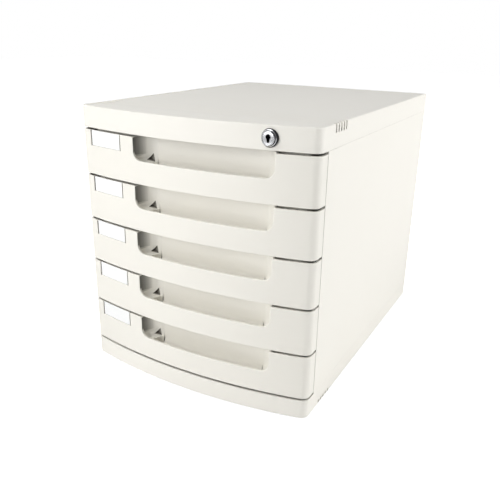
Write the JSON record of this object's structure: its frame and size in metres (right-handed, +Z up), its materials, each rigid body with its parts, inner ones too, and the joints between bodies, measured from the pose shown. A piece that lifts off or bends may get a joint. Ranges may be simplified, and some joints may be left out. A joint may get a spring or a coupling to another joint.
{
  "type": "desktop file drawer",
  "caption": "Desktop file cabinet of stacked flat drawers in off-white plastic, with a bowed front, cut-out finger grips, label cards and a cam lock that holds every drawer.",
  "frame": {"origin": "on the desk, under the middle of the cabinet's bounding box", "axes": "+Z up, -Y out of the drawer fronts, +X to the right as seen from the front"},
  "size_m": [0.3, 0.411, 0.3225],
  "materials": {
    "shell": "fine-textured moulded plastic, warm off-white",
    "front": "satin moulded plastic, warm off-white",
    "tray": "satin moulded plastic, warm off-white",
    "card": "smooth white card",
    "rubber": "matt black rubber",
    "chrome": "bright chrome plate",
    "steel": "zinc-plated steel",
    "bar": "plain moulded plastic"
  },
  "bodies": {
    "housing": {"top_cover": "shell", "base": "shell", "left_side": "shell", "right_side": "shell", "left_runners": "tray", "right_runners": "tray", "back_panel": "shell", "foot_pads": "rubber", "base_screws": "steel", "lock_barrel": "chrome", "lock_nut": "steel"},
    "drawer_1": {"tray_1": "tray", "front_1": "front", "label_card_1": "card", "stop_lugs_1": "tray", "lock_catch_1": "bar"},
    "drawer_2": {"tray_2": "tray", "front_2": "front", "label_card_2": "card", "stop_lugs_2": "tray", "lock_catch_2": "bar"},
    "drawer_3": {"tray_3": "tray", "front_3": "front", "label_card_3": "card", "stop_lugs_3": "tray", "lock_catch_3": "bar"},
    "drawer_4": {"tray_4": "tray", "front_4": "front", "label_card_4": "card", "stop_lugs_4": "tray", "lock_catch_4": "bar"},
    "drawer_5": {"tray_5": "tray", "front_5": "front", "label_card_5": "card", "stop_lugs_5": "tray", "lock_catch_5": "bar"},
    "lock_core": {"lock_plug": "chrome", "lock_cam": "steel", "cam_screw": "steel"},
    "lock_rod": {"lock_bar": "bar", "lock_tabs": "steel"}
  },
  "joints": [
    {"name": "drawer_1_slide", "type": "slide", "parent": "housing", "child": "drawer_1", "axis": [0, -1, 0], "range_m": [0, 0.29]},
    {"name": "drawer_2_slide", "type": "slide", "parent": "housing", "child": "drawer_2", "axis": [0, -1, 0], "range_m": [0, 0.29]},
    {"name": "drawer_3_slide", "type": "slide", "parent": "housing", "child": "drawer_3", "axis": [0, -1, 0], "range_m": [0, 0.29]},
    {"name": "drawer_4_slide", "type": "slide", "parent": "housing", "child": "drawer_4", "axis": [0, -1, 0], "range_m": [0, 0.29]},
    {"name": "drawer_5_slide", "type": "slide", "parent": "housing", "child": "drawer_5", "axis": [0, -1, 0], "range_m": [0, 0.29]},
    {"name": "lock_turn", "type": "hinge", "parent": "housing", "child": "lock_core", "pos_m": [0.1, -0.19756, 0.3099], "axis": [0, 1, 0], "range_deg": [0, 90]},
    {"name": "lock_rod_slide", "type": "slide", "parent": "housing", "child": "lock_rod", "axis": [0, 0, -1], "range_m": [0, 0.008]}
  ],
  "couplings": [
    {"joint": "lock_rod_slide", "follows": "lock_turn", "m_per_rad": 0.00509}
  ]
}
